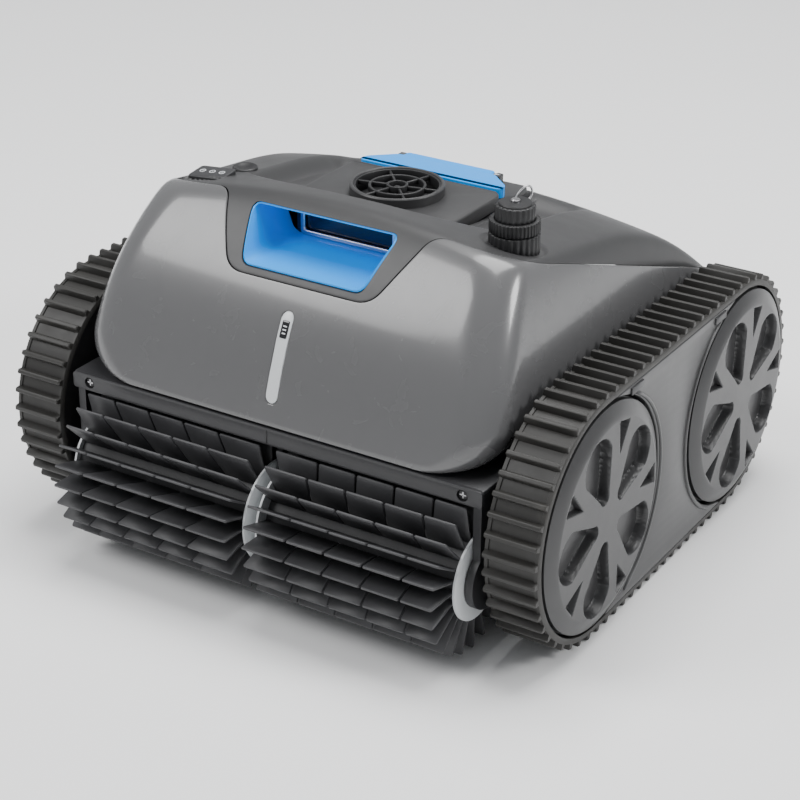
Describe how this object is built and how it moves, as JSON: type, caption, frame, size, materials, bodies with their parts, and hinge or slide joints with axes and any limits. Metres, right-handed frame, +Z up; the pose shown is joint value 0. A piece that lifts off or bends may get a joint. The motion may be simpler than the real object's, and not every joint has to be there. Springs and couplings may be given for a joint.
{
  "type": "pool cleaner",
  "caption": "Cordless tracked pool cleaner with a split roller brush, lift-out filter, jet outlet, blue grip scoop and capped charging port.",
  "frame": {"origin": "on the ground under the middle of the whole machine, brush included", "axes": "+X to the right of someone facing the front, +Y to the back, +Z up; left and right in names are that person's"},
  "size_m": [0.442, 0.4326, 0.2953],
  "materials": {
    "shell_grey": "glossy mid-grey moulding",
    "deck_grey": "fine-grained dark grey moulding",
    "cap_grey": "satin grey moulding",
    "dark_plastic": "near-black moulding",
    "blue_plastic": "bright sky-blue moulding",
    "track_rubber": "dark moulded rubber",
    "brush_rubber": "thin dark grey flexible blades",
    "brush_core_grey": "grey tube",
    "pale_plastic": "pale grey translucent moulding",
    "dark_window": "dark glossy window",
    "bright_trim": "bright metal trim",
    "steel": "stainless steel",
    "motor_metal": "potted metal can"
  },
  "bodies": {
    "chassis": {"body_shell": "shell_grey", "light_bar": "pale_plastic", "display_window": "dark_window", "top_deck": "deck_grey", "grip_scoop": "blue_plastic", "chamber_window": "dark_window", "window_frame": "bright_trim", "right_track_belt": "track_rubber", "left_track_belt": "track_rubber", "right_side_cover": "deck_grey", "left_side_cover": "deck_grey", "chassis_tub": "dark_plastic", "idler_axles": "steel", "shell_seal": "track_rubber", "front_bumper": "deck_grey", "bumper_screws": "steel", "intake_plate": "dark_plastic", "flap_hinge_pin": "steel", "right_brush_arm": "deck_grey", "left_brush_arm": "deck_grey", "brush_centre_arm": "dark_plastic", "pump_motor": "motor_metal", "outlet_duct": "dark_plastic", "mode_panel": "dark_plastic", "charge_port": "dark_plastic", "port_pins": "bright_trim", "right_drive_motor": "motor_metal", "left_drive_motor": "motor_metal", "battery_pack": "motor_metal", "control_board": "dark_plastic"},
    "right_front_wheel": {"right_front_wheel": "dark_plastic", "right_front_cap": "cap_grey"},
    "right_rear_wheel": {"right_rear_wheel": "dark_plastic", "right_rear_cap": "cap_grey"},
    "right_brush": {"right_brush_blades": "brush_rubber", "right_brush_core": "brush_core_grey", "right_brush_discs": "pale_plastic"},
    "left_front_wheel": {"left_front_wheel": "dark_plastic", "left_front_cap": "cap_grey"},
    "left_rear_wheel": {"left_rear_wheel": "dark_plastic", "left_rear_cap": "cap_grey"},
    "left_brush": {"left_brush_blades": "brush_rubber", "left_brush_core": "brush_core_grey", "left_brush_discs": "pale_plastic"},
    "propeller": {"propeller": "dark_plastic"},
    "filter": {"filter_cover": "deck_grey", "outlet_grille": "dark_plastic", "basket_base": "dark_plastic", "filter_basket": "dark_plastic", "basket_sleeve": "dark_plastic"},
    "filter_handle": {"filter_handle": "blue_plastic"},
    "power_button": {"power_button": "dark_plastic"},
    "port_cap": {"port_cap": "dark_plastic", "cap_tether": "bright_trim"},
    "port_ring": {"port_ring": "dark_plastic"},
    "intake_flap": {"intake_flap": "dark_plastic"}
  },
  "joints": [
    {"name": "right_drive_spin", "type": "hinge", "parent": "chassis", "child": "right_rear_wheel", "pos_m": [0.195, 0.12375, 0.0925], "axis": [1, 0, 0], "continuous": true},
    {"name": "right_idler_spin", "type": "hinge", "parent": "chassis", "child": "right_front_wheel", "pos_m": [0.195, -0.09425, 0.0925], "axis": [1, 0, 0], "continuous": true},
    {"name": "right_brush_spin", "type": "hinge", "parent": "chassis", "child": "right_brush", "pos_m": [0.08, -0.15825, 0.0625], "axis": [1, 0, 0], "continuous": true},
    {"name": "left_drive_spin", "type": "hinge", "parent": "chassis", "child": "left_rear_wheel", "pos_m": [-0.195, 0.12375, 0.0925], "axis": [1, 0, 0], "continuous": true},
    {"name": "left_idler_spin", "type": "hinge", "parent": "chassis", "child": "left_front_wheel", "pos_m": [-0.195, -0.09425, 0.0925], "axis": [1, 0, 0], "continuous": true},
    {"name": "left_brush_spin", "type": "hinge", "parent": "chassis", "child": "left_brush", "pos_m": [-0.08, -0.15825, 0.0625], "axis": [1, 0, 0], "continuous": true},
    {"name": "propeller_spin", "type": "hinge", "parent": "chassis", "child": "propeller", "pos_m": [0, -0.00825, 0.157], "axis": [0, 0, 1], "continuous": true},
    {"name": "filter_lift", "type": "slide", "parent": "chassis", "child": "filter", "axis": [0, 0, 1], "range_m": [0, 0.17]},
    {"name": "handle_fold", "type": "hinge", "parent": "filter", "child": "filter_handle", "pos_m": [0, 0.06475, 0.2477], "axis": [-1, 0, 0], "range_deg": [0, 85]},
    {"name": "power_press", "type": "slide", "parent": "chassis", "child": "power_button", "axis": [0, 0, -1], "range_m": [0, 0.002], "stiffness_N_per_m": 800},
    {"name": "port_cap_lift", "type": "slide", "parent": "chassis", "child": "port_cap", "axis": [0, 0, 1], "range_m": [0, 0.03]},
    {"name": "port_ring_turn", "type": "hinge", "parent": "port_cap", "child": "port_ring", "pos_m": [0.122, -0.05725, 0.269], "axis": [0, 0, 1], "continuous": true},
    {"name": "flap_open", "type": "hinge", "parent": "chassis", "child": "intake_flap", "pos_m": [0, -0.05825, 0.0305], "axis": [-1, 0, 0], "range_deg": [0, 70]}
  ],
  "couplings": [
    {"joint": "right_idler_spin", "follows": "right_drive_spin", "ratio": 1},
    {"joint": "right_brush_spin", "follows": "right_drive_spin", "ratio": 2},
    {"joint": "left_idler_spin", "follows": "left_drive_spin", "ratio": 1},
    {"joint": "left_brush_spin", "follows": "left_drive_spin", "ratio": 2}
  ]
}
